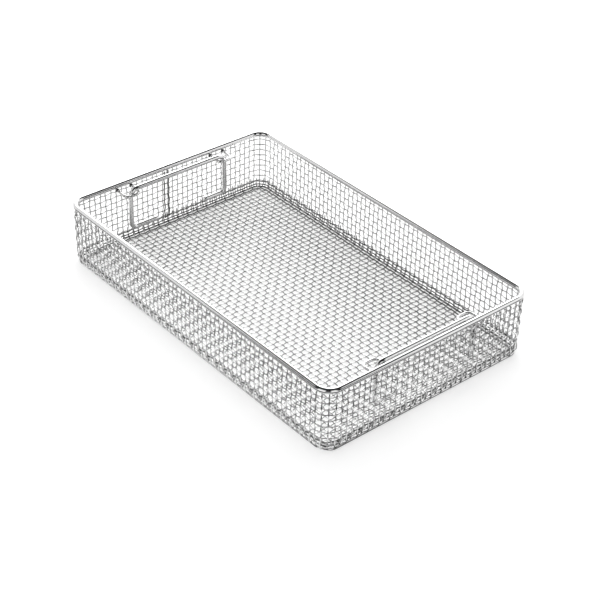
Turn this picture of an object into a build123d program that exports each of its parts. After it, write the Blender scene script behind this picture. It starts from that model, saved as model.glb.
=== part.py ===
from build123d import *

import math
import os

# A sterilising basket of stainless wire, in millimetres.
# X runs along the basket, Y across it, Z up. The origin is at the middle of its footprint, on the
# surface that it stands on.

# Overall size, over the rim rod.
BASKET_LENGTH = 405.0
BASKET_WIDTH = 255.0
BASKET_HEIGHT = 70.0
CORNER_RADIUS = 17.0

# The two frame rods.
RIM_ROD_DIAMETER = 5.5
BASE_ROD_DIAMETER = 2.8

# Woven wire cloth. Its thickness is two wires, one over the other.
MESH_WIRE_DIAMETER = 1.2
WALL_SETBACK = 0.6
WALL_PITCH = 6.5
WALL_TOP_ROW_DROP = 4.1
FLOOR_PITCH = 6.4
FLOOR_BEND_RADIUS = 4.5
FLOOR_UPSTAND_HEIGHT = 13.0

# The cloth is open in a grid of windows, about this far apart, with a band one cell wide between them.
WINDOW_SPACING = 32.3
WINDOW_ROW_SPACING = 26.0

# Lift-out handles, one bent rod at each end of the basket.
HANDLE_ROD_DIAMETER = 5.0
HANDLE_LEG_SPACING = 122.0
HANDLE_LEG_LENGTH = 45.4
HANDLE_GRIP_RADIUS = 9.0
HANDLE_FOOT_RADIUS = 6.0
FRONT_FOOT_LENGTH = 33.0
REAR_FOOT_LENGTH = 28.0

# The left handle stands against the fronts of its eyes. The right one is pushed back towards the rim.
LEFT_RIM_GAP = 9.5
RIGHT_RIM_GAP = 2.5

# Eyes: U-shaped wire loops under the rim that the handle legs slide through.
EYE_WIRE_DIAMETER = 3.0
EYE_INNER_WIDTH = 14.0
EYE_CORNER_RADIUS = 5.0
EYE_CENTRE_SHIFT = 1.0
RIGHT_REAR_EYE_SHIFT = 4.2
EYE_DROOP_DEGREES = 3.5

# Clearances: between pieces that are welded together, and between pieces that slide.
WELD_GAP = 0.05
SLIDE_CLEARANCE = 0.3

# Sizes that follow from the ones above.
rim_radius = RIM_ROD_DIAMETER / 2
base_radius = BASE_ROD_DIAMETER / 2
handle_radius = HANDLE_ROD_DIAMETER / 2
eye_radius = EYE_WIRE_DIAMETER / 2
cloth_thickness = 2 * MESH_WIRE_DIAMETER
groove_depth = MESH_WIRE_DIAMETER / 2
rim_underside = BASKET_HEIGHT - RIM_ROD_DIAMETER
wall_inner_inset = WALL_SETBACK + cloth_thickness
wall_foot_height = BASE_ROD_DIAMETER + WELD_GAP
eye_reach = RIM_ROD_DIAMETER + LEFT_RIM_GAP + HANDLE_ROD_DIAMETER + SLIDE_CLEARANCE + eye_radius

# The floor pan lies against the inside of the wall, and its bend rests on the base rod.
pan_inset = wall_inner_inset + WELD_GAP
pan_bend = FLOOR_BEND_RADIUS + cloth_thickness
rod_reach = pan_bend + base_radius + WELD_GAP
rod_offset = math.sqrt(rod_reach**2 - (pan_bend - base_radius) ** 2)
base_inset = pan_inset + pan_bend - rod_offset


def rounded_outline(inset):
    """The basket's outline in plan, moved in from the outside of the rim by inset."""
    return RectangleRounded(
        BASKET_LENGTH - 2 * inset,
        BASKET_WIDTH - 2 * inset,
        CORNER_RADIUS - inset,
    )


def rod_along(path, diameter):
    """A round rod whose centre line is path."""
    section = Plane(origin=path @ 0, z_dir=path % 0) * Circle(diameter / 2)
    return sweep(section, path=path)


def ring_rod(inset, height, diameter):
    """A closed rod round the basket, with its centre line at this inset and height."""
    path = (Pos(0, 0, height) * rounded_outline(inset)).wire()
    return rod_along(path, diameter)


def cell_centres(count, pitch):
    """Centres of count cells of the cloth, in a row about zero."""
    return [(index - (count - 1) / 2) * pitch for index in range(count)]


def windows_and_bands(centres, spacing, pitch):
    """Splits a row of cells: the centres of its windows and of its closed cells, and a window's size."""
    every = max(2, round(spacing / pitch))
    count = (len(centres) + 1) // every
    first = (len(centres) + 1 - count * every) // 2
    last = first + count * every - 1
    windows = [(centres[start] + centres[start + every - 2]) / 2 for start in range(first, last, every)]
    closed = centres[:first] + centres[first + every - 1 : last : every] + centres[last:]
    return windows, closed, (every - 1) * pitch - MESH_WIRE_DIAMETER


def bowl(inset, bottom, top, bend):
    """A solid with the basket's outline, whose lower edge is rounded over by bend."""
    block = extrude(Pos(0, 0, bottom) * rounded_outline(inset), top - bottom)
    return fillet(block.edges().group_by(Axis.Z)[0], bend)


def floor_mesh():
    """The floor cloth: a shallow pan whose edge is turned up inside the wall cloth."""
    pan = bowl(pan_inset, 0, FLOOR_UPSTAND_HEIGHT, pan_bend)
    above_pan = FLOOR_UPSTAND_HEIGHT + cloth_thickness
    pan -= bowl(pan_inset + cloth_thickness, cloth_thickness, above_pan, FLOOR_BEND_RADIUS)

    flat_length = BASKET_LENGTH - 2 * (pan_inset + pan_bend)
    flat_width = BASKET_WIDTH - 2 * (pan_inset + pan_bend)
    columns = cell_centres(int(flat_length / FLOOR_PITCH), FLOOR_PITCH)
    rows = cell_centres(int(flat_width / FLOOR_PITCH), FLOOR_PITCH)
    length = len(columns) * FLOOR_PITCH - MESH_WIRE_DIAMETER
    width = len(rows) * FLOOR_PITCH - MESH_WIRE_DIAMETER
    opening = FLOOR_PITCH - MESH_WIRE_DIAMETER
    window_columns, closed_columns, window_size = windows_and_bands(columns, WINDOW_SPACING, FLOOR_PITCH)
    window_rows, closed_rows, window_size = windows_and_bands(rows, WINDOW_SPACING, FLOOR_PITCH)

    # Wires along the basket stand out on top, wires across it stand out underneath.
    window = Box(window_size, window_size, 2 * cloth_thickness)
    cuts = [Pos(x, y, 0) * window for x in window_columns for y in window_rows]
    cuts += [Pos(0, y, cloth_thickness) * Box(length, window_size, 2 * groove_depth) for y in window_rows]
    cuts += [Pos(0, y, cloth_thickness) * Box(length, opening, 2 * groove_depth) for y in closed_rows]
    cuts += [Pos(x, 0, 0) * Box(window_size, width, 2 * groove_depth) for x in window_columns]
    cuts += [Pos(x, 0, 0) * Box(opening, width, 2 * groove_depth) for x in closed_columns]
    return pan - cuts


def wall_panel_cuts(flat_length, distance):
    """Grooves and windows of one flat side, which faces -Y at this distance from the middle."""
    top_row = rim_underside - WALL_TOP_ROW_DROP
    row_count = int((top_row - pan_bend) / WALL_PITCH)
    columns = cell_centres(int(flat_length / WALL_PITCH), WALL_PITCH)
    rows = [top_row - (row + 0.5) * WALL_PITCH for row in range(row_count)]
    length = len(columns) * WALL_PITCH - MESH_WIRE_DIAMETER
    height = row_count * WALL_PITCH - MESH_WIRE_DIAMETER
    middle = (rows[0] + rows[-1]) / 2
    opening = WALL_PITCH - MESH_WIRE_DIAMETER
    window_columns, closed_columns, window_length = windows_and_bands(columns, WINDOW_SPACING, WALL_PITCH)
    window_rows, closed_rows, window_height = windows_and_bands(rows, WINDOW_ROW_SPACING, WALL_PITCH)

    # Level wires stand out on the outside, upright wires on the inside.
    outside = distance + cloth_thickness / 2
    inside = distance - cloth_thickness / 2
    window = Box(window_length, 2 * cloth_thickness, window_height)
    cuts = [Pos(x, -distance, z) * window for x in window_columns for z in window_rows]
    cuts += [Pos(0, -outside, z) * Box(length, 2 * groove_depth, window_height) for z in window_rows]
    cuts += [Pos(0, -outside, z) * Box(length, 2 * groove_depth, opening) for z in closed_rows]
    cuts += [Pos(x, -inside, middle) * Box(window_length, 2 * groove_depth, height) for x in window_columns]
    cuts += [Pos(x, -inside, middle) * Box(opening, 2 * groove_depth, height) for x in closed_columns]
    return cuts


def wall_mesh():
    """The wall cloth: one strip from the rim rod down, curled in round the pan to the base rod."""
    inner_bend = pan_bend + WELD_GAP
    outer_bend = inner_bend + cloth_thickness
    wall = bowl(WALL_SETBACK, pan_bend - outer_bend, rim_underside, outer_bend)
    wall -= bowl(wall_inner_inset, -WELD_GAP, BASKET_HEIGHT, inner_bend)
    below_foot = Box(BASKET_LENGTH, BASKET_WIDTH, BASKET_HEIGHT)
    wall -= Pos(0, 0, wall_foot_height - BASKET_HEIGHT / 2) * below_foot
    middle_inset = WALL_SETBACK + cloth_thickness / 2
    long_cuts = wall_panel_cuts(BASKET_LENGTH - 2 * CORNER_RADIUS, BASKET_WIDTH / 2 - middle_inset)
    short_cuts = wall_panel_cuts(BASKET_WIDTH - 2 * CORNER_RADIUS, BASKET_LENGTH / 2 - middle_inset)
    cuts = [Rot(0, 0, turn) * cut for cut in long_cuts for turn in (0, 180)]
    cuts += [Rot(0, 0, turn) * cut for cut in short_cuts for turn in (90, 270)]
    return wall - cuts


def eye_height(inset):
    """Height of the eye wire's centre line at this distance in from the outside of the rim."""
    root_height = rim_underside - eye_radius
    return root_height - (inset - wall_inner_inset) * math.tan(math.radians(EYE_DROOP_DEGREES))


def eye(middle_y):
    """One eye at the -X end: a U of wire under the rim, round a handle leg."""
    end_lean = eye_radius * math.sin(math.radians(EYE_DROOP_DEGREES))
    root_inset = wall_inner_inset + WELD_GAP + end_lean
    half_width = EYE_INNER_WIDTH / 2 + eye_radius
    corners = []
    for inset, y in (
        (root_inset, middle_y - half_width),
        (eye_reach, middle_y - half_width),
        (eye_reach, middle_y + half_width),
        (root_inset, middle_y + half_width),
    ):
        corners.append((inset - BASKET_LENGTH / 2, y, eye_height(inset)))
    return rod_along(FilletPolyline(*corners, radius=EYE_CORNER_RADIUS), EYE_WIRE_DIAMETER)


def handle(rim_gap):
    """The handle at the -X end, this far behind the rim, let down so that its grip lies on the eyes."""
    inset = RIM_ROD_DIAMETER + rim_gap + handle_radius
    x = inset - BASKET_LENGTH / 2
    leg_y = HANDLE_LEG_SPACING / 2
    eye_top = eye_height(inset) + eye_radius / math.cos(math.radians(EYE_DROOP_DEGREES))
    grip_z = eye_top + SLIDE_CLEARANCE + handle_radius
    foot_z = grip_z - HANDLE_LEG_LENGTH
    path = FilletPolyline(
        (x, -leg_y + FRONT_FOOT_LENGTH, foot_z),
        (x, -leg_y, foot_z),
        (x, -leg_y, grip_z),
        (x, leg_y, grip_z),
        (x, leg_y, foot_z),
        (x, leg_y - REAR_FOOT_LENGTH, foot_z),
        radius=[HANDLE_FOOT_RADIUS, HANDLE_GRIP_RADIUS, HANDLE_GRIP_RADIUS, HANDLE_FOOT_RADIUS],
    )
    return rod_along(path, HANDLE_ROD_DIAMETER)


# Pieces of the right end are made at the left end and turned half round.
other_end = Rot(0, 0, 180)
eye_y = HANDLE_LEG_SPACING / 2 - EYE_CENTRE_SHIFT
right_rear_eye_y = HANDLE_LEG_SPACING / 2 - RIGHT_REAR_EYE_SHIFT

parts = {
    "rim_rod": ring_rod(rim_radius, BASKET_HEIGHT - rim_radius, RIM_ROD_DIAMETER),
    "base_rod": ring_rod(base_inset, base_radius, BASE_ROD_DIAMETER),
    "wall_mesh": wall_mesh(),
    "floor_mesh": floor_mesh(),
    "left_front_eye": eye(-eye_y),
    "left_rear_eye": eye(eye_y),
    "right_front_eye": other_end * eye(eye_y),
    "right_rear_eye": other_end * eye(-right_rear_eye_y),
    "left_handle": handle(LEFT_RIM_GAP),
    "right_handle": other_end * handle(RIGHT_RIM_GAP),
}

os.makedirs("parts", exist_ok=True)
for name, shape in parts.items():
    export_step(shape, f"parts/{name}.step")
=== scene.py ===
# %% [markdown]
# # A sterilising basket of stainless wire
#
# The basket is two bent rods, two pieces of woven wire cloth, four wire eyes and two sliding handles. The
# measured model is loaded first, and it stays where it is: every piece made here takes its size and place
# from it. The solids of that model are plain, so each one is replaced by the same form in finer wire.

# %% Load the measured model
import math

import bpy
import numpy as np
from mathutils import Matrix, Vector


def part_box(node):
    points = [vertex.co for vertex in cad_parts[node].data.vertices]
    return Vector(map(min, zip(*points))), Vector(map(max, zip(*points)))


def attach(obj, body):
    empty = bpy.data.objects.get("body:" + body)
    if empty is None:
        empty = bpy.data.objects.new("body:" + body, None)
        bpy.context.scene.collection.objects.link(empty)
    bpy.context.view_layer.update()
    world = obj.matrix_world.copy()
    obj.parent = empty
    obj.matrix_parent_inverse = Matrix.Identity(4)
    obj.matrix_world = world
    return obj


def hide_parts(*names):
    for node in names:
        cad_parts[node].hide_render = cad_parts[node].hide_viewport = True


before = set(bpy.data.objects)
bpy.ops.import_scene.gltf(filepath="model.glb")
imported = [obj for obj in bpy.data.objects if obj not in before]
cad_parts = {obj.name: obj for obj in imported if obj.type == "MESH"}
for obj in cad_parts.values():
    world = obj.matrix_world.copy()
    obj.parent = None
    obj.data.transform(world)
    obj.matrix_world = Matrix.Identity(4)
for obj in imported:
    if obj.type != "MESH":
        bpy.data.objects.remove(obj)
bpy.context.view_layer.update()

MM = 0.001

# %% [markdown]
# ## Sizes
#
# Sizes are read from the boxes of the solids, so a rod is as thick here as it is there. Only what a box
# can't tell is written down: the radius of a bend, the pitch of the cloth and the thickness of its wire.

# %% Read the sizes
rim_low, rim_high = (Vector(corner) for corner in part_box("rim_rod"))
base_low, base_high = (Vector(corner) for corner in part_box("base_rod"))
wall_high = Vector(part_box("wall_mesh")[1])
pan_low, pan_high = (Vector(corner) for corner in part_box("floor_mesh"))

HALF_LENGTH = rim_high.x
HALF_WIDTH = rim_high.y
RIM_TOP = rim_high.z
RIM_RADIUS = (rim_high.z - rim_low.z) / 2
BASE_RADIUS = (base_high.z - base_low.z) / 2
CORNER_RADIUS = 17.0 * MM

WIRE_RADIUS = 0.65 * MM
WIRE_SWING = 0.55 * MM
CLOTH_THICKNESS = 2 * (WIRE_RADIUS + WIRE_SWING)
PAN_INNER_BEND = 4.5 * MM
print("basket", 2 * HALF_LENGTH, "x", 2 * HALF_WIDTH, "x", RIM_TOP, "m")


# %% [markdown]
# ## The outline
#
# Rods and cloth all follow one rounded rectangle, each at its own distance in from the outside of the rim.
# A function that walks round it and says where it is and which way is outwards serves them all.

# %% Walk round the outline
def outline(inset, distance):
    """Points and outward directions at these distances round the outline, from the middle of the +X end."""
    radius = CORNER_RADIUS - inset
    half_x = HALF_LENGTH - CORNER_RADIUS
    half_y = HALF_WIDTH - CORNER_RADIUS
    quarter = math.pi / 2 * radius
    lengths = [half_y, quarter, 2 * half_x, quarter, 2 * half_y, quarter, 2 * half_x, quarter, half_y]
    starts = np.concatenate([[0], np.cumsum(lengths)])
    walked = np.mod(distance, starts[-1])
    places = np.zeros((len(walked), 3))
    outward = np.zeros((len(walked), 3))
    reach_x = half_x + radius
    reach_y = half_y + radius
    straights = {
        0: ((reach_x, 0), (0, 1), (1, 0)),
        2: ((half_x, reach_y), (-1, 0), (0, 1)),
        4: ((-reach_x, half_y), (0, -1), (-1, 0)),
        6: ((-half_x, -reach_y), (1, 0), (0, -1)),
        8: ((reach_x, -half_y), (0, 1), (1, 0)),
    }
    centres = {1: (half_x, half_y), 3: (-half_x, half_y), 5: (-half_x, -half_y), 7: (half_x, -half_y)}
    for index, length in enumerate(lengths):
        here = (walked >= starts[index]) & (walked <= starts[index + 1])
        along = walked[here] - starts[index]
        if index in straights:
            start, heading, normal = (np.array(pair) for pair in straights[index])
            places[here, :2] = start + along[:, None] * heading
            outward[here, :2] = normal
        else:
            turn = (index - 1) / 2 * math.pi / 2 + along / radius
            normal = np.stack([np.cos(turn), np.sin(turn)], axis=1)
            places[here, :2] = np.array(centres[index]) + radius * normal
            outward[here, :2] = normal
    return places, outward


def outline_length(inset):
    """How long the outline is at this inset."""
    straight = 4 * (HALF_LENGTH + HALF_WIDTH - 2 * CORNER_RADIUS)
    return straight + 2 * math.pi * (CORNER_RADIUS - inset)


print("round the rim:", round(outline_length(0) / MM), "mm")


# %% [markdown]
# ## Wire
#
# Everything on this basket is round wire or rod. One helper lays a ring of points round each point of a
# centre line and joins the rings with faces. Curves with a bevel would do it too, but meshes made straight
# from arrays are quicker for hundreds of wires, and many wires can share one mesh.

# %% Make tubes from centre lines
NEARLY_UPRIGHT = 0.9


def headings(centre, closed):
    """The direction of a line at each of its points."""
    if closed:
        ahead = np.roll(centre, -1, axis=0) - np.roll(centre, 1, axis=0)
    else:
        ahead = np.gradient(centre, axis=0)
    return ahead / np.linalg.norm(ahead, axis=1)[:, None]


def crosswise(ahead):
    """Two directions across each heading, turned as little as possible from one to the next."""
    side = np.zeros_like(ahead)
    upright = abs(ahead[0][2]) >= NEARLY_UPRIGHT
    start = np.array([1.0, 0.0, 0.0]) if upright else np.array([0.0, 0.0, 1.0])
    for index, direction in enumerate(ahead):
        start = start - direction * start.dot(direction)
        start /= np.linalg.norm(start)
        side[index] = start
    return side, np.cross(ahead, side)


def squared(ahead, sideways):
    """Two directions across each heading, with the first as near to sideways as it can be."""
    second = np.cross(ahead, sideways)
    second /= np.linalg.norm(second, axis=1)[:, None]
    return np.cross(second, ahead), second


def tube(centre, radius, sides, closed=False, sideways=None):
    """Corners and faces of one tube. radius is a number, or one for each point of the centre line."""
    count = len(centre)
    ahead = headings(centre, closed)
    first, second = crosswise(ahead) if sideways is None else squared(ahead, np.asarray(sideways))
    angle = np.arange(sides) * 2 * math.pi / sides
    thickness = np.broadcast_to(radius, (count,))[:, None, None]
    ring = np.cos(angle)[None, :, None] * first[:, None] + np.sin(angle)[None, :, None] * second[:, None]
    corners = (centre[:, None] + thickness * ring).reshape(-1, 3)
    bands = count if closed else count - 1
    low = (np.arange(bands)[:, None] * sides + np.arange(sides)[None]).reshape(-1)
    low_next = (np.arange(bands)[:, None] * sides + (np.arange(sides)[None] + 1) % sides).reshape(-1)
    top = count * sides
    quads = np.stack([low, low_next, (low_next + sides) % top, (low + sides) % top], axis=1)
    return corners, quads


class Strands:
    """Gathers tubes into one mesh."""

    def __init__(self):
        self.corners = []
        self.quads = []
        self.caps = []
        self.total = 0

    def add(self, centre, radius, sides, closed=False, sideways=None):
        """Adds a tube along this centre line. sideways is a direction that a crimped wire keeps."""
        corners, quads = tube(np.asarray(centre, dtype=float), radius, sides, closed, sideways)
        self.corners.append(corners)
        self.quads.append(quads + self.total)
        if not closed:
            last = self.total + len(corners)
            self.caps.append(list(range(self.total + sides - 1, self.total - 1, -1)))
            self.caps.append(list(range(last - sides, last)))
        self.total += len(corners)

    def build(self, name, material):
        """Makes one piece of all the tubes, with smooth sides and flat ends."""
        mesh = bpy.data.meshes.new(name)
        faces = np.concatenate(self.quads).tolist() + self.caps
        mesh.from_pydata(np.concatenate(self.corners).tolist(), [], faces)
        mesh.polygons.foreach_set("use_smooth", [len(face) == 4 for face in faces])
        mesh.materials.append(material)
        mesh.update()
        piece = bpy.data.objects.new(name, mesh)
        bpy.context.scene.collection.objects.link(piece)
        print(name, "triangles:", sum(len(face) - 2 for face in faces))
        return piece


# %% [markdown]
# ## Steel
#
# The rods and the wire are electropolished stainless steel: bright, slightly soft in its reflections, with
# a fine grain left from drawing it through a die. Two dark steels here are painted shade, not a colour of
# the
# steel: one for the weld beads and the seam wires, which lie in shade under the rim and behind the lap, and
# one for the edge wires in the shaded crease where the floor meets the wall. One function mixes every steel
# here, as they differ only in brightness, gloss and grain. The gloss changes a little from patch to patch,
# because a surface that is equally smooth all over looks like a drawing of steel.

# %% Mix the steel
PATCH_SCALE = 40.0
PATCH_DETAIL = 3.0
DULL_PATCH = 0.94
LEAST_ROUGH = 0.7
MOST_ROUGH = 1.3
GRAIN_DETAIL = 2.0
GRAIN_STRENGTH = 0.15
GRAIN_DEPTH = 0.05 * MM


def noise(tree, where, scale, detail):
    """A cloudy pattern that is fixed to the piece."""
    pattern = tree.nodes.new("ShaderNodeTexNoise")
    pattern.inputs["Scale"].default_value = scale
    pattern.inputs["Detail"].default_value = detail
    tree.links.new(where.outputs["Object"], pattern.inputs["Vector"])
    return pattern


def grey(level):
    """A colour with no hue."""
    return (level, level, level, 1)


def steel(name, brightness, roughness, grain):
    """Polished steel with a soft change of gloss over its surface and a fine grain."""
    material = bpy.data.materials.new(name)
    material.use_nodes = True
    tree = material.node_tree
    shader = tree.nodes["Principled BSDF"]
    shader.inputs["Metallic"].default_value = 1.0
    where = tree.nodes.new("ShaderNodeTexCoord")
    patches = noise(tree, where, PATCH_SCALE, PATCH_DETAIL)
    gloss = tree.nodes.new("ShaderNodeMapRange")
    gloss.inputs["To Min"].default_value = roughness * LEAST_ROUGH
    gloss.inputs["To Max"].default_value = roughness * MOST_ROUGH
    tree.links.new(patches.outputs["Fac"], gloss.inputs["Value"])
    tree.links.new(gloss.outputs["Result"], shader.inputs["Roughness"])
    shade = tree.nodes.new("ShaderNodeMix")
    shade.data_type = "RGBA"
    shade.inputs["A"].default_value = grey(brightness * DULL_PATCH)
    shade.inputs["B"].default_value = grey(brightness)
    tree.links.new(patches.outputs["Fac"], shade.inputs["Factor"])
    tree.links.new(shade.outputs["Result"], shader.inputs["Base Color"])
    marks = noise(tree, where, grain, GRAIN_DETAIL)
    bump = tree.nodes.new("ShaderNodeBump")
    bump.inputs["Strength"].default_value = GRAIN_STRENGTH
    bump.inputs["Distance"].default_value = GRAIN_DEPTH
    tree.links.new(marks.outputs["Fac"], bump.inputs["Height"])
    tree.links.new(bump.outputs["Normal"], shader.inputs["Normal"])
    print("steel", name)
    return material


ROD_GRAIN = 900.0
WIRE_GRAIN = 1500.0
ROD_STEEL = steel("rod_steel_fine", brightness=0.85, roughness=0.12, grain=ROD_GRAIN)
WIRE_STEEL = steel("wire_steel_fine", brightness=0.80, roughness=0.07, grain=WIRE_GRAIN)
# Painted shade: dark steel for the weld beads and the seam wires, which lie in shade.
PAINTED_SHADE_STEEL = steel("painted_shade_steel_fine", brightness=0.10, roughness=0.25, grain=WIRE_GRAIN)
# Painted shade: dark steel for the floor's edge wires in the crease between floor and wall.
CREASE_SHADE_STEEL = steel("crease_shade_steel_fine", brightness=0.16, roughness=0.2, grain=WIRE_GRAIN)

# %% [markdown]
# ## The two frame rods
#
# One rod goes round the top and a thinner one round the bottom, each bent from a straight length and butt
# welded. The welds are ground flush and polished with the rest, so nothing of them shows. Each rod is one
# closed tube round the outline, with points close enough together to keep the corners round.

# %% Bend the frame rods
RING_STEP = 1.5 * MM
RIM_SIDES = 28
BASE_SIDES = 20


def ring(inset, height):
    """A closed centre line round the basket."""
    length = outline_length(inset)
    count = int(length / RING_STEP)
    places, _ = outline(inset, np.arange(count) * length / count)
    places[:, 2] = height
    return places


rim = Strands()
rim.add(ring(RIM_RADIUS, RIM_TOP - RIM_RADIUS), RIM_RADIUS, RIM_SIDES, closed=True)
rim_piece = rim.build("rim_rod_fine", ROD_STEEL)
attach(rim_piece, "basket")
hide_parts("rim_rod")

base_inset = HALF_LENGTH - base_high.x + BASE_RADIUS
base = Strands()
base.add(ring(base_inset, BASE_RADIUS), BASE_RADIUS, BASE_SIDES, closed=True)
base_piece = base.build("base_rod_fine", ROD_STEEL)
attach(base_piece, "basket")
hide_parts("base_rod")

# %% [markdown]
# ## Woven cloth
#
# In a plain weave every wire passes over one wire and under the next, so it is crimped into waves that are
# as high as the wire is thick. A flat sheet with a pattern of holes would be lighter to draw, but it would
# have no thickness and no shadows of its own. So every wire is a tube. It knows where it crosses the others
# and on which side it passes, and it swings from side to side between those places.

# %% Crimp a wire
CRIMP_STEPS = 4
WIRE_SIDES = 8


def crimp(distance, crossings, sides):
    """How far the wire stands off the middle of the cloth, at these distances along it."""
    index = np.clip(np.searchsorted(crossings, distance) - 1, 0, len(crossings) - 2)
    before = np.asarray(crossings)[index]
    after = np.asarray(crossings)[index + 1]
    share = np.clip((distance - before) / (after - before), 0, 1)
    swing = (1 - np.cos(math.pi * share)) / 2
    sides = np.asarray(sides, dtype=float)
    return WIRE_SWING * (sides[index] * (1 - swing) + sides[index + 1] * swing)


def sample(start, end, crossings, steps):
    """Distances from start to end, with steps between one crossing and the next."""
    marks = [start] + [mark for mark in crossings if start < mark < end] + [end]
    stops = [np.linspace(low, high, steps, endpoint=False) for low, high in zip(marks, marks[1:])]
    return np.concatenate(stops + [[end]])


def at_every_point(values, line):
    """The same three numbers for every point of a line."""
    return np.tile(np.array(values, dtype=float), (len(line), 1))


print("the cloth is", round(CLOTH_THICKNESS / MM, 2), "mm thick")

# %% [markdown]
# ## The wall cloth
#
# The wall is one strip of cloth. Its foot is curled in round the edge of the floor, down to the base rod.
# The upright wires run down this profile, and the level wires go right round. Which side a wire takes at a
# crossing depends on whether its own number and the other's add up to an even one, as on a loom. The
# strip's two ends lap over each other in the middle of one short wall and are spot welded, so two more
# uprights stand there on the inside. They are coloured dark as painted shade, for the shade behind the
# outer layer.

# %% Set out the wall
WALL_MIDDLE_INSET = HALF_LENGTH - wall_high.x + CLOTH_THICKNESS / 2
WALL_PITCH = 6.5 * MM
WALL_TOP_ROW_DROP = 4.1 * MM
WALL_ROWS = 9
PAN_OUTER_BEND = PAN_INNER_BEND + CLOTH_THICKNESS
WALL_BEND = PAN_OUTER_BEND + (HALF_LENGTH - pan_high.x) - WALL_MIDDLE_INSET
WALL_FOOT_ANGLE = 35.0

uprights = 2 * round(outline_length(WALL_MIDDLE_INSET) / WALL_PITCH / 2)
upright_spacing = outline_length(WALL_MIDDLE_INSET) / uprights
row_heights = [wall_high.z - WALL_TOP_ROW_DROP - row * WALL_PITCH for row in range(WALL_ROWS)]
print(uprights, "uprights", round(upright_spacing / MM, 2), "mm apart")
print("rows at", [round(height / MM, 1) for height in row_heights], "mm")


# %% Stand the uprights
def wall_profile(distance):
    """Distance in from the wall's middle plane, height and lean, at this distance down from its top."""
    straight = wall_high.z - PAN_OUTER_BEND
    past = np.maximum(distance - straight, 0)
    angle = past / WALL_BEND
    inward = WALL_BEND * (1 - np.cos(angle))
    height = wall_high.z - np.minimum(distance, straight) - WALL_BEND * np.sin(angle)
    return inward, height, angle


wall_depth = wall_high.z - PAN_OUTER_BEND + WALL_BEND * math.radians(WALL_FOOT_ANGLE)
row_depths = [wall_high.z - height for height in row_heights]
down = sample(0.0, wall_depth, row_depths, CRIMP_STEPS)
inward, height, lean = wall_profile(down)
uprights_mesh = Strands()
for number in range(uprights):
    place, out = outline(WALL_MIDDLE_INSET, np.array([(number + 0.5) * upright_spacing]))
    signs = [(-1) ** (number + row) for row in range(WALL_ROWS)]
    off = crimp(down, row_depths, signs)
    reach = (off * np.cos(lean) - inward)[:, None]
    line = place + reach * out
    line[:, 2] = height - off * np.sin(lean)
    across = at_every_point(np.cross(out[0], (0, 0, 1)), line)
    uprights_mesh.add(line, WIRE_RADIUS, WIRE_SIDES, sideways=across)
uprights_piece = uprights_mesh.build("wall_upright_wires", WIRE_STEEL)

# %% Run the level wires round
levels_mesh = Strands()
crossings = [(number + 0.5) * upright_spacing for number in range(-1, uprights + 1)]
around = np.arange(uprights * CRIMP_STEPS) * upright_spacing / CRIMP_STEPS
for row, depth in enumerate(row_depths):
    signs = [-((-1) ** (number + row)) for number in range(-1, uprights + 1)]
    off = crimp(around, crossings, signs)
    place, out = outline(WALL_MIDDLE_INSET, around)
    line = place + off[:, None] * out
    line[:, 2] = wall_high.z - depth
    levels_mesh.add(line, WIRE_RADIUS, WIRE_SIDES, closed=True, sideways=at_every_point((0, 0, 1), line))
levels_piece = levels_mesh.build("wall_level_wires", WIRE_STEEL)

# %% Lap the ends of the strip
SEAM_UPRIGHTS = (-2.9 * MM, 2.7 * MM)
SEAM_LAP = 1.9 * MM
seam_middle = outline_length(WALL_MIDDLE_INSET) / 2
seam_down = sample(WIRE_RADIUS, wall_high.z - PAN_OUTER_BEND, row_depths, CRIMP_STEPS)
seam_mesh = Strands()
for number, offset in enumerate(SEAM_UPRIGHTS):
    place, out = outline(WALL_MIDDLE_INSET + SEAM_LAP, np.array([seam_middle + offset]))
    signs = [(-1) ** (number + row) for row in range(WALL_ROWS)]
    off = crimp(seam_down, row_depths, signs)
    line = place + off[:, None] * out
    line[:, 2] = wall_high.z - seam_down
    across = at_every_point(np.cross(out[0], (0, 0, 1)), line)
    seam_mesh.add(line, WIRE_RADIUS, WIRE_SIDES, sideways=across)
# The seam wires take the painted-shade steel.
seam_piece = seam_mesh.build("wall_seam_wires", PAINTED_SHADE_STEEL)
for piece in (uprights_piece, levels_piece, seam_piece):
    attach(piece, "basket")
    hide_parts("wall_mesh")

# %% [markdown]
# ## The floor cloth
#
# The floor is woven the same way. Its edge is turned up inside the wall, where four more wires run round
# it and welds join the floor to the wall. These edge wires are coloured dark as painted shade, for the
# shade in the crease between floor and wall. Each floor wire lies in one upright plane, so its line is
# worked out as a distance along and a height, and near the corners it stops short, where the rounded
# outline cuts across it.

# %% Set out the floor
FLOOR_PITCH = 6.4 * MM
PAN_MIDDLE_INSET = HALF_LENGTH - pan_high.x + CLOTH_THICKNESS / 2
PAN_BEND = PAN_INNER_BEND + CLOTH_THICKNESS / 2
FLOOR_LEVEL = pan_low.z + CLOTH_THICKNESS / 2
PAN_CORNER = CORNER_RADIUS - PAN_MIDDLE_INSET
RING_ANGLES = (18.0, 44.0, 70.0)
RING_HEIGHT = 8.6 * MM

flat_x = HALF_LENGTH - PAN_MIDDLE_INSET - PAN_BEND
flat_y = HALF_WIDTH - PAN_MIDDLE_INSET - PAN_BEND


def wire_places(half_length):
    """Where wires lie at the floor's pitch, on both sides of the middle."""
    most = int(half_length / FLOOR_PITCH)
    return [index * FLOOR_PITCH for index in range(-most, most + 1)]


wires_at_x = wire_places(flat_x)
wires_at_y = wire_places(flat_y)
print("floor wires:", len(wires_at_x), "across and", len(wires_at_y), "along")


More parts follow.
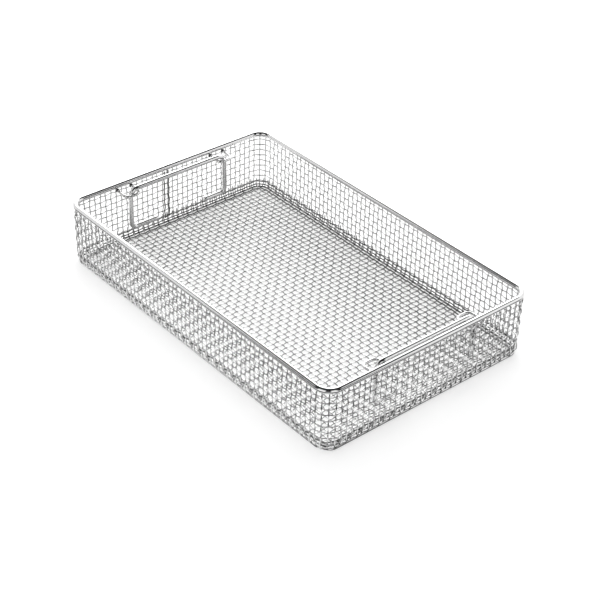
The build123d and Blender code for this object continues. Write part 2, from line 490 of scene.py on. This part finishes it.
# %% Shape the floor's edge
def edge_profile(climb):
    """Distance in from the edge's upright middle plane, height and lean, this far on from the flat."""
    turn = np.clip(climb / PAN_BEND, 0, math.pi / 2)
    rise = np.maximum(climb - PAN_BEND * math.pi / 2, 0)
    return PAN_BEND * (1 - np.sin(turn)), FLOOR_LEVEL + PAN_BEND * (1 - np.cos(turn)) + rise, turn


def reach_at(offset, half_reach, half_side, inset):
    """How far out the edge is at this inset, along a wire this far off the middle."""
    beyond = abs(offset) - (half_side - PAN_CORNER)
    straight = half_reach - inset
    if beyond <= 0:
        return straight
    radius = np.maximum(PAN_CORNER - inset, beyond)
    return half_reach - PAN_CORNER + np.sqrt(radius**2 - beyond**2)


climb_top = PAN_BEND * math.pi / 2 + pan_high.z - (FLOOR_LEVEL + PAN_BEND)
ring_climbs = [PAN_BEND * math.radians(angle) for angle in RING_ANGLES]
ring_climbs.append(PAN_BEND * math.pi / 2 + RING_HEIGHT - FLOOR_LEVEL - PAN_BEND)


def floor_wire(offset, number, others, half_reach, half_side, first_sign):
    """Distances along and heights of a floor wire, from one turned-up end to the other."""
    flat = half_reach - PAN_BEND
    marks = [flat + climb for climb in ring_climbs]
    crossings = [-mark for mark in reversed(marks)] + list(others) + marks
    signs = [first_sign * (-1) ** (number + index) for index in range(len(crossings))]
    end = flat + climb_top
    distance = sample(-end, end, crossings, CRIMP_STEPS)
    off = crimp(distance, crossings, signs)
    inset, height, lean = edge_profile(np.maximum(np.abs(distance) - flat, 0))
    outer = reach_at(offset, half_reach, half_side, inset)
    bent = np.abs(distance) > flat
    along = np.where(bent, outer, np.abs(distance)) * np.sign(distance)
    short = reach_at(offset, half_reach, half_side, np.full(1, PAN_BEND))
    along = np.clip(along, -np.maximum(outer, short), np.maximum(outer, short))
    along -= np.sign(distance) * off * np.sin(lean)
    return along, height + off * np.cos(lean)


print("the edge stands", round(climb_top / MM, 1), "mm round its bend and up")

# %% Weave the floor
pan_reach_x = HALF_LENGTH - PAN_MIDDLE_INSET
pan_reach_y = HALF_WIDTH - PAN_MIDDLE_INSET
long_wires = Strands()
for number, y in enumerate(wires_at_y):
    along, rise = floor_wire(y, number, wires_at_x, pan_reach_x, pan_reach_y, 1)
    line = np.stack([along, np.full_like(along, y), rise], axis=1)
    long_wires.add(line, WIRE_RADIUS, WIRE_SIDES, sideways=at_every_point((0, 1, 0), line))
long_piece = long_wires.build("floor_long_wires", WIRE_STEEL)

cross_wires = Strands()
for number, x in enumerate(wires_at_x):
    along, rise = floor_wire(x, number, wires_at_y, pan_reach_y, pan_reach_x, -1)
    line = np.stack([np.full_like(along, x), along, rise], axis=1)
    cross_wires.add(line, WIRE_RADIUS, WIRE_SIDES, sideways=at_every_point((1, 0, 0), line))
cross_piece = cross_wires.build("floor_cross_wires", WIRE_STEEL)

# %% Run the edge wires round
edge_length = outline_length(PAN_MIDDLE_INSET)
edge_waves = 2 * round(edge_length / FLOOR_PITCH / 2)
edge_spacing = edge_length / edge_waves
around = np.arange(edge_waves * CRIMP_STEPS) * edge_spacing / CRIMP_STEPS
off = WIRE_SWING * np.cos(math.pi * around / edge_spacing)
place, out = outline(PAN_MIDDLE_INSET, around)
edge_wires = Strands()
for climb in ring_climbs:
    inset, height, lean = edge_profile(np.array([climb]))
    line = place - (inset + off * math.sin(lean[0]))[:, None] * out
    line[:, 2] = height + off * math.cos(lean[0])
    edge_wires.add(line, WIRE_RADIUS, WIRE_SIDES, closed=True, sideways=at_every_point((0, 0, 1), line))
# The edge wires take the painted-shade steel of the crease.
edge_piece = edge_wires.build("floor_edge_wires", CREASE_SHADE_STEEL)
for piece in (long_piece, cross_piece, edge_piece):
    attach(piece, "basket")
    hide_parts("floor_mesh")

# %% [markdown]
# ## Handles and eyes
#
# Each handle is one rod, bent four times. It slides in two eyes of thinner wire, which are welded to the
# underside of the rim with small beads, and its two feet are turned in below the eyes, so that it can't be
# pulled out. The beads are coloured dark as painted shade, for the shade under the rim. A bent rod is given
# by the corners that its straight runs would meet in and a radius for each bend, as a bender's drawing
# gives it, and one helper rounds the corners off.

# %% Round off corners
LEAST_ARC_STEPS = 4


def rounded(corners, radii, step):
    """Points along straight runs that are joined by arcs."""
    corners = [np.array(corner, dtype=float) for corner in corners]
    points = [corners[0]]
    for index, radius in enumerate(radii, start=1):
        here = corners[index]
        back = corners[index - 1] - here
        on = corners[index + 1] - here
        back /= np.linalg.norm(back)
        on /= np.linalg.norm(on)
        half = math.acos(np.clip(back.dot(on), -1, 1)) / 2
        trim = radius / math.tan(half)
        middle = here + (back + on) / np.linalg.norm(back + on) * radius / math.sin(half)
        start = here + back * trim - middle
        end = here + on * trim - middle
        turn = math.pi - 2 * half
        count = max(LEAST_ARC_STEPS, math.ceil(turn * radius / step))
        for share in np.linspace(0, 1, count + 1):
            point = start * math.sin((1 - share) * turn) + end * math.sin(share * turn)
            points.append(middle + point / math.sin(turn))
    points.append(corners[-1])
    return np.array(points)


def even(points, step):
    """The same line with a point at least every step."""
    out = [points[0]]
    for before, after in zip(points, points[1:]):
        count = max(1, math.ceil(np.linalg.norm(after - before) / step))
        for share in range(1, count + 1):
            out.append(before + (after - before) * share / count)
    return np.array(out)


# How deep and how wide the rounded end of a rod is, as shares of the rod's radius.
ROD_END = ((0.0, 0.72), (0.06, 0.86), (0.16, 0.96), (0.30, 1.0))


def domed(centre, radius):
    """The line with extra points at both ends, and radii that round its ends off a little."""
    start = centre[1] - centre[0]
    end = centre[-2] - centre[-1]
    start /= np.linalg.norm(start)
    end /= np.linalg.norm(end)
    head = [centre[0] + start * radius * depth for depth, _ in ROD_END]
    tail = [centre[-1] + end * radius * depth for depth, _ in reversed(ROD_END)]
    line = np.concatenate([head, centre[1:-1], tail])
    thick = [radius * width for _, width in ROD_END]
    radii = np.concatenate([thick, np.full(len(centre) - 2, radius), thick[::-1]])
    return line, radii


# %% Bend a handle
HANDLE_GRIP_RADIUS = 9.0 * MM
HANDLE_FOOT_RADIUS = 6.0 * MM
HANDLE_ARC_STEP = 0.8 * MM
HANDLE_RUN_STEP = 3 * MM
HANDLE_SIDES = 24
FOOT_LENGTHS = (33.0 * MM, 28.0 * MM)


def bend_handle(side, sign):
    """One sliding handle: a grip, two legs, and two feet that are turned in below the eyes."""
    low, high = (Vector(corner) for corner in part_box(side + "_handle"))
    radius = (high.x - low.x) / 2
    x = (high.x + low.x) / 2
    leg = high.y - radius
    grip = high.z - radius
    foot = low.z + radius
    near_foot, far_foot = FOOT_LENGTHS if sign < 0 else FOOT_LENGTHS[::-1]
    corners = [
        (x, -leg + near_foot, foot),
        (x, -leg, foot),
        (x, -leg, grip),
        (x, leg, grip),
        (x, leg, foot),
        (x, leg - far_foot, foot),
    ]
    bends = [HANDLE_FOOT_RADIUS, HANDLE_GRIP_RADIUS, HANDLE_GRIP_RADIUS, HANDLE_FOOT_RADIUS]
    line, radii = domed(even(rounded(corners, bends, HANDLE_ARC_STEP), HANDLE_RUN_STEP), radius)
    handle = Strands()
    handle.add(line, radii, HANDLE_SIDES)
    piece = handle.build(side + "_handle_fine", ROD_STEEL)
    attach(piece, side + "_grip")
    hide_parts(side + "_handle")


# %% Bend an eye and weld it on
EYE_RADIUS = 1.5 * MM
EYE_CORNER_RADIUS = 5.0 * MM
EYE_ARC_STEP = 0.5 * MM
EYE_RUN_STEP = 2 * MM
EYE_SIDES = 20
WELD_RADIUS = 2.1 * MM
WELD_RINGS = 9
WELD_SIDES = 16
WELD_REACH = 0.98 * WELD_RADIUS


def weld_bead(centre):
    """Centre line and radii of a round bead: a tube along x that swells and shrinks like a ball."""
    along = np.linspace(-1, 1, WELD_RINGS) * WELD_REACH
    line = at_every_point(centre, along)
    line[:, 0] += along
    return line, np.sqrt(WELD_RADIUS**2 - along**2)


def bend_eye(name, sign):
    """One eye under the rim, with a bead where each of its two ends meets the rim."""
    low, high = (Vector(corner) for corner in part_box(name))
    root = high.x if sign > 0 else low.x
    front = (low.x + EYE_RADIUS) if sign > 0 else (high.x - EYE_RADIUS)
    root_height = high.z - EYE_RADIUS
    front_height = low.z + EYE_RADIUS
    legs = (low.y + EYE_RADIUS, high.y - EYE_RADIUS)
    corners = [
        (root, legs[0], root_height),
        (front, legs[0], front_height),
        (front, legs[1], front_height),
        (root, legs[1], root_height),
    ]
    line = even(rounded(corners, [EYE_CORNER_RADIUS] * 2, EYE_ARC_STEP), EYE_RUN_STEP)
    eye = Strands()
    eye.add(line, EYE_RADIUS, EYE_SIDES)
    piece = eye.build(name + "_fine", ROD_STEEL)
    beads = Strands()
    for y in legs:
        line, radii = weld_bead((root - sign * WELD_RADIUS, y, root_height))
        beads.add(line, radii, WELD_SIDES)
    # The beads take the painted-shade steel.
    weld = beads.build(name + "_welds", PAINTED_SHADE_STEEL)
    for part in (piece, weld):
        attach(part, "basket")
        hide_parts(name)


# %% Make both handles and their eyes
for side, sign in (("left", -1), ("right", 1)):
    bend_handle(side, sign)
    for end in ("front", "rear"):
        bend_eye(side + "_" + end + "_eye", sign)

# %% [markdown]
# ## Stage, light and camera
#
# The basket stands on plain white paper under a large soft light. A bright enough lamp would make the paper
# white too, but it would wash the steel out. So the paper glows a little instead, for the camera and for
# reflections only, and the basket still throws a soft shadow on it.

# %% Lay the paper
PAPER_REACH = 6.0
PAPER_COLOUR = 0.55
PAPER_ROUGHNESS = 0.9
PAPER_GLOW = 0.62


def either(tree, first, second):
    """The larger of two values, so 1 where either of them is 1."""
    larger = tree.nodes.new("ShaderNodeMath")
    larger.operation = "MAXIMUM"
    tree.links.new(first, larger.inputs[0])
    tree.links.new(second, larger.inputs[1])
    return larger.outputs[0]


def glowing_paper():
    """Dull white paper that glows for the camera and for reflections."""
    material = bpy.data.materials.new("stage_paper")
    material.use_nodes = True
    tree = material.node_tree
    shader = tree.nodes["Principled BSDF"]
    shader.inputs["Base Color"].default_value = grey(PAPER_COLOUR)
    shader.inputs["Roughness"].default_value = PAPER_ROUGHNESS
    shader.inputs["Specular IOR Level"].default_value = 0.0
    shader.inputs["Emission Color"].default_value = grey(1)
    rays = tree.nodes.new("ShaderNodeLightPath")
    glow = tree.nodes.new("ShaderNodeMath")
    glow.operation = "MULTIPLY"
    glow.inputs[1].default_value = PAPER_GLOW
    seen = either(tree, rays.outputs["Is Camera Ray"], rays.outputs["Is Glossy Ray"])
    tree.links.new(seen, glow.inputs[0])
    tree.links.new(glow.outputs[0], shader.inputs["Emission Strength"])
    return material


paper_corners = [
    (-PAPER_REACH, -PAPER_REACH, 0),
    (PAPER_REACH, -PAPER_REACH, 0),
    (PAPER_REACH, PAPER_REACH, 0),
    (-PAPER_REACH, PAPER_REACH, 0),
]
paper_mesh = bpy.data.meshes.new("stage_floor")
paper_mesh.from_pydata(paper_corners, [], [(0, 1, 2, 3)])
paper_mesh.materials.append(glowing_paper())
stage_floor = bpy.data.objects.new("stage_floor", paper_mesh)
bpy.context.scene.collection.objects.link(stage_floor)
print("paper", 2 * PAPER_REACH, "m across")

# %% [markdown]
# ### Light
#
# The room is white where it is looked at, straight or in a reflection, and it gives only a little light of
# its own. Two lamps do the rest: one overhead, which makes the soft shadow, and one behind the basket,
# opposite the camera. The overhead one is left out of reflections, so that the cards that come next decide
# what the steel shows.

# %% Light the scene
WORLD_FILL = 0.25
world = bpy.data.worlds.new("studio")
bpy.context.scene.world = world
world.use_nodes = True
tree = world.node_tree
fill = tree.nodes["Background"]
fill.inputs["Color"].default_value = grey(1)
fill.inputs["Strength"].default_value = WORLD_FILL
white = tree.nodes.new("ShaderNodeBackground")
white.inputs["Color"].default_value = grey(1)
rays = tree.nodes.new("ShaderNodeLightPath")
straight_or_mirrored = either(tree, rays.outputs["Is Camera Ray"], rays.outputs["Is Glossy Ray"])
looked_at = either(tree, straight_or_mirrored, rays.outputs["Is Transmission Ray"])
mix = tree.nodes.new("ShaderNodeMixShader")
tree.links.new(looked_at, mix.inputs["Fac"])
tree.links.new(fill.outputs["Background"], mix.inputs[1])
tree.links.new(white.outputs["Background"], mix.inputs[2])
tree.links.new(mix.outputs["Shader"], tree.nodes["World Output"].inputs["Surface"])


def soft_light(name, place, aim, size, radiance):
    """A square soft light that faces aim and looks this bright."""
    lamp = bpy.data.lights.new(name, "AREA")
    lamp.size = size
    lamp.energy = radiance * math.pi * size**2
    light = bpy.data.objects.new(name, lamp)
    light.location = place
    light.rotation_euler = (Vector(aim) - Vector(place)).to_track_quat("-Z", "Y").to_euler()
    bpy.context.scene.collection.objects.link(light)
    print("lamp", name, round(lamp.energy, 1), "W")
    return light


overhead = soft_light("overhead", place=(-0.6, 0.4, 2.2), aim=(0, 0, 0), size=3.0, radiance=1.6)
overhead.visible_glossy = False
soft_light("behind", place=(-1.9, 1.65, 1.2), aim=(0, 0, 0.05), size=2.4, radiance=2.0)

# %% [markdown]
# ### Cards for the steel to show
#
# Polished steel has hardly any colour of its own. It looks white where it shows something white and black
# where it shows something dark, and in a studio black and grey cards are hung round such a thing to draw
# its edges. The world here is white for reflections, so a few cards give the rods their thin dark lines and
# the crimped wires their dark strokes. Only reflections see them: they throw no shadow, take no light away
# and don't show. A sky with dark stripes would do it too, but cards are easier to move one at a time.


# %% Cut the cards
def shade_of(name, level):
    """A cloth that looks this bright from everywhere."""
    material = bpy.data.materials.new(name)
    material.use_nodes = True
    nodes = material.node_tree.nodes
    nodes.remove(nodes["Principled BSDF"])
    glow = nodes.new("ShaderNodeEmission")
    glow.inputs["Color"].default_value = grey(1)
    glow.inputs["Strength"].default_value = level
    material.node_tree.links.new(glow.outputs["Emission"], nodes["Material Output"].inputs["Surface"])
    return material


BLACK_CLOTH = shade_of("black_cloth", level=0.02)
PALE_GREY_CLOTH = shade_of("pale_grey_cloth", level=0.85)


def card(name, corners, faces, cloth):
    """A card that only reflections see."""
    mesh = bpy.data.meshes.new(name)
    mesh.from_pydata(corners, [], faces)
    mesh.materials.append(cloth)
    sheet = bpy.data.objects.new(name, mesh)
    bpy.context.scene.collection.objects.link(sheet)
    sheet.visible_camera = False
    sheet.visible_diffuse = False
    sheet.visible_shadow = False
    print("card", name)


# %% [markdown]
# The cards that stand round the basket are pieces of one big sphere. The roof is black, and the steps of
# the woven wires that face it turn dark. The black cards in front draw the lines along the undersides of
# the rods, and the pale grey one on the left keeps the long rods from going plain white.

# %% Hang the cards round it
DOME = 3.0
CARD_STEP = 5.0


def curved_card(name, low, high, start, end, cloth):
    """A piece of the sphere between two heights and two bearings, all in degrees."""
    columns = max(2, round((end - start) / CARD_STEP))
    rows = max(2, round((high - low) / CARD_STEP))
    corners = []
    for row in range(rows + 1):
        up = math.radians(low + (high - low) * row / rows)
        for column in range(columns + 1):
            turn = math.radians(start + (end - start) * column / columns)
            flat = DOME * math.cos(up)
            corners.append((flat * math.cos(turn), flat * math.sin(turn), DOME * math.sin(up)))
    faces = []
    for row in range(rows):
        for column in range(columns):
            at = row * (columns + 1) + column
            above = at + columns + 1
            faces.append((at, at + 1, above + 1, above))
    card(name, corners, faces, cloth)


ROOF_FOOT = 46
STANDING_TOP = ROOF_FOOT + 1
STANDING_CARDS = {
    "left_card": (-180, -129, PALE_GREY_CLOTH),
    "front_left_card": (-129, -100, BLACK_CLOTH),
    "front_middle_card": (-58, -28, BLACK_CLOTH),
    "front_right_card": (5, 33, BLACK_CLOTH),
}
curved_card("roof_card", ROOF_FOOT, 90, -180, 180, BLACK_CLOTH)
for name, (start, end, cloth) in STANDING_CARDS.items():
    curved_card(name, 0, STANDING_TOP, start, end, cloth)

# %% [markdown]
# Upright wires and the undersides of the rods show the paper, not the room. So more cards lie on the paper:
# an apron some way out in front; a narrow black strip of painted contact shadow under the base rod of the
# near short side; and painted shade under the two far sides, in four steps of grey that are darkest next to
# the walls, which darkens the inside of the walls and the handle there.

# %% Lay the cards on the paper
CARD_LIFT = 0.2 * MM


def corner_card(name, outer, inner, ends, cloth, lift=CARD_LIFT):
    """An L-shaped card: one strip along x and one along y that share the corner between outer and inner."""
    (outer_x, outer_y), (inner_x, inner_y), (end_x, end_y) = outer, inner, ends
    places = [
        (end_x, outer_y),
        (outer_x, outer_y),
        (outer_x, inner_y),
        (end_x, inner_y),
        (inner_x, inner_y),
        (outer_x, end_y),
        (inner_x, end_y),
    ]
    corners = [(x, y, lift) for x, y in places]
    card(name, corners, [(0, 1, 2, 3), (4, 2, 5, 6)], cloth)


APRON_GAP = 35 * MM
APRON_REACH = 200 * MM
apron_outer = (HALF_LENGTH + APRON_REACH, -HALF_WIDTH - APRON_REACH)
apron_inner = (HALF_LENGTH + APRON_GAP, -HALF_WIDTH - APRON_GAP)
apron_ends = (-HALF_LENGTH - APRON_REACH, HALF_WIDTH + APRON_REACH)
corner_card("apron_card", apron_outer, apron_inner, apron_ends, BLACK_CLOTH)

# Painted contact shadow: a black strip under the base rod, for its underside to reflect.
FOOT_SHADOW_WIDTH = 8 * MM
foot_shadow_x = base_high.x - BASE_RADIUS
foot_shadow_y = base_high.y - BASE_RADIUS
foot_shadow_corners = [
    (foot_shadow_x, -foot_shadow_y, CARD_LIFT),
    (foot_shadow_x + FOOT_SHADOW_WIDTH, -foot_shadow_y, CARD_LIFT),
    (foot_shadow_x + FOOT_SHADOW_WIDTH, foot_shadow_y, CARD_LIFT),
    (foot_shadow_x, foot_shadow_y, CARD_LIFT),
]
card("foot_shadow_card", foot_shadow_corners, [(0, 1, 2, 3)], BLACK_CLOTH)

# %% Lay the steps of painted shade under the far sides
UNDER_INSET = 8 * MM
# Painted shade under the basket: grey strips, darker nearer the far walls, seen only in reflections.
UNDER_SHADE_STEPS = ((110 * MM, 0.8), (85 * MM, 0.6), (60 * MM, 0.4), (35 * MM, 0.25))
under_x = HALF_LENGTH - UNDER_INSET
under_y = HALF_WIDTH - UNDER_INSET
under_outer = (-under_x, under_y)
under_ends = (under_x, -under_y)
for step, (width, level) in enumerate(UNDER_SHADE_STEPS):
    cloth = shade_of("under_shade_cloth_" + str(step), level)
    inner = (width - under_x, under_y - width)
    lift = CARD_LIFT * (1 + step / 2)
    corner_card("under_shade_card_" + str(step), under_outer, inner, under_ends, cloth, lift)

# %% [markdown]
# ### Camera
#
# The camera looks down on one corner, so that two walls show their outside, two their inside, and the
# floor is seen through the open top. Its place is kept as two angles, a small roll and a distance, because
# that is how a camera on a stand is moved. It aims below the middle of the rim, near the basket's own
# middle.

# %% Place the camera
AZIMUTH = math.radians(-40.93)
ELEVATION = math.radians(34.68)
ROLL = math.radians(1.72)
DISTANCE = 1.528
AIM_RIGHT = 9.1 * MM
AIM_DOWN = 54.2 * MM
FOCAL_PIXELS = 1565.0
PICTURE_PIXELS = 600.0
SENSOR_WIDTH = 36.0

back_x = math.cos(ELEVATION) * math.cos(AZIMUTH)
back_y = math.cos(ELEVATION) * math.sin(AZIMUTH)
forward = -Vector((back_x, back_y, math.sin(ELEVATION)))
level_right = forward.cross(Vector((0, 0, 1))).normalized()
level_up = level_right.cross(forward)
right = math.cos(ROLL) * level_right + math.sin(ROLL) * level_up
up = -math.sin(ROLL) * level_right + math.cos(ROLL) * level_up
aim = Vector((0, 0, RIM_TOP)) + AIM_RIGHT * right - AIM_DOWN * up
lens = bpy.data.cameras.new("camera")
lens.sensor_width = SENSOR_WIDTH
lens.lens = FOCAL_PIXELS / PICTURE_PIXELS * lens.sensor_width
camera = bpy.data.objects.new("camera", lens)
place = aim - DISTANCE * forward
turn = Matrix((right, up, -forward)).transposed().to_4x4()
camera.matrix_world = Matrix.Translation(place) @ turn
bpy.context.scene.collection.objects.link(camera)
bpy.context.scene.camera = camera
print("lens", round(lens.lens, 1), "mm,", DISTANCE, "m away")

bpy.context.scene.view_settings.view_transform = "Standard"
